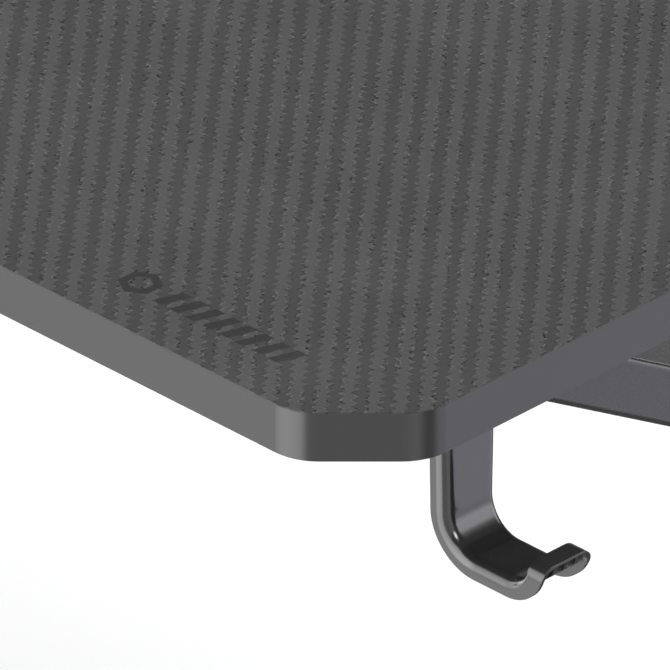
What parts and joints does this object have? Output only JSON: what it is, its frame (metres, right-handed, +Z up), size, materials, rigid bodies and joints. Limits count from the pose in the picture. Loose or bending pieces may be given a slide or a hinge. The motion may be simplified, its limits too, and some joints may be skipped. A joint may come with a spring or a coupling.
{
  "type": "corner desk",
  "caption": "L-shaped corner desk with carbon-look boards, chamfered corners, two braced steel end frames, a corner post, a headphone hook and levelling feet.",
  "frame": {"origin": "on the floor, under the centre of the whole desk's bounding box", "axes": "+Z up; +X along the right wing from the corner towards its free end; +Y towards the back edge of the right wing; the return wing runs along -Y"},
  "size_m": [1.5234, 1.2, 0.75],
  "materials": {
    "top_film": "dark grey film printed and embossed as a twill of carbon tows, satin",
    "edge_band": "smooth dark grey edge band, satin",
    "board_core": "particle board with a plain dark backing film below",
    "frame_paint": "dark grey powder coat on welded steel tube",
    "cap_plastic": "black moulded plastic, fine texture",
    "hook_plastic": "dark grey moulded plastic, semi-gloss",
    "plated_steel": "zinc-plated steel",
    "black_fasteners": "black oxide steel",
    "dowel_wood": "beech, unfinished",
    "pad_rubber": "black hard rubber, slightly dusty"
  },
  "bodies": {
    "desk": {"corner_board_core": "board_core", "corner_board_edge_band": "edge_band", "corner_board_top_film": "top_film", "corner_post": "frame_paint", "corner_post_foot_plug": "cap_plastic", "corner_post_head_plate": "frame_paint", "desktop_bolts": "black_fasteners", "foot_threaded_sleeves": "plated_steel", "frame_bolts": "black_fasteners", "frame_rivet_nuts": "plated_steel", "front_beam": "frame_paint", "front_beam_end_plates": "frame_paint", "head_plate_screws": "black_fasteners", "headphone_hook": "hook_plastic", "hook_screws": "black_fasteners", "rear_beam": "frame_paint", "rear_beam_end_plates": "frame_paint", "return_board_core": "board_core", "return_board_edge_band": "edge_band", "return_board_top_film": "top_film", "return_column": "frame_paint", "return_foot_rail": "frame_paint", "return_inner_beam": "frame_paint", "return_inner_beam_end_plates": "frame_paint", "return_lower_arm": "frame_paint", "return_outer_beam": "frame_paint", "return_outer_beam_end_plates": "frame_paint", "return_rail_end_caps": "cap_plastic", "return_seam_plate": "frame_paint", "return_top_rail": "frame_paint", "return_upper_arm": "frame_paint", "right_board_core": "board_core", "right_board_edge_band": "edge_band", "right_board_top_film": "top_film", "right_column": "frame_paint", "right_foot_rail": "frame_paint", "right_lower_arm": "frame_paint", "right_rail_end_caps": "cap_plastic", "right_seam_plate": "frame_paint", "right_top_rail": "frame_paint", "right_upper_arm": "frame_paint", "seam_dowels": "dowel_wood", "seam_plate_screws": "black_fasteners", "threaded_inserts": "plated_steel"},
    "right_front_foot": {"right_front_foot_pad": "pad_rubber", "right_front_foot_stud": "plated_steel"},
    "right_back_foot": {"right_back_foot_pad": "pad_rubber", "right_back_foot_stud": "plated_steel"},
    "return_inner_foot": {"return_inner_foot_pad": "pad_rubber", "return_inner_foot_stud": "plated_steel"},
    "return_outer_foot": {"return_outer_foot_pad": "pad_rubber", "return_outer_foot_stud": "plated_steel"},
    "corner_foot": {"corner_foot_pad": "pad_rubber", "corner_foot_stud": "plated_steel"}
  },
  "joints": [
    {"name": "right_front_foot_height", "type": "slide", "parent": "desk", "child": "right_front_foot", "axis": [0, 0, 1], "range_m": [-0.01, 0]},
    {"name": "right_back_foot_height", "type": "slide", "parent": "desk", "child": "right_back_foot", "axis": [0, 0, 1], "range_m": [-0.01, 0]},
    {"name": "return_inner_foot_height", "type": "slide", "parent": "desk", "child": "return_inner_foot", "axis": [0, 0, 1], "range_m": [-0.01, 0]},
    {"name": "return_outer_foot_height", "type": "slide", "parent": "desk", "child": "return_outer_foot", "axis": [0, 0, 1], "range_m": [-0.01, 0]},
    {"name": "corner_foot_height", "type": "slide", "parent": "desk", "child": "corner_foot", "axis": [0, 0, 1], "range_m": [-0.01, 0]}
  ]
}
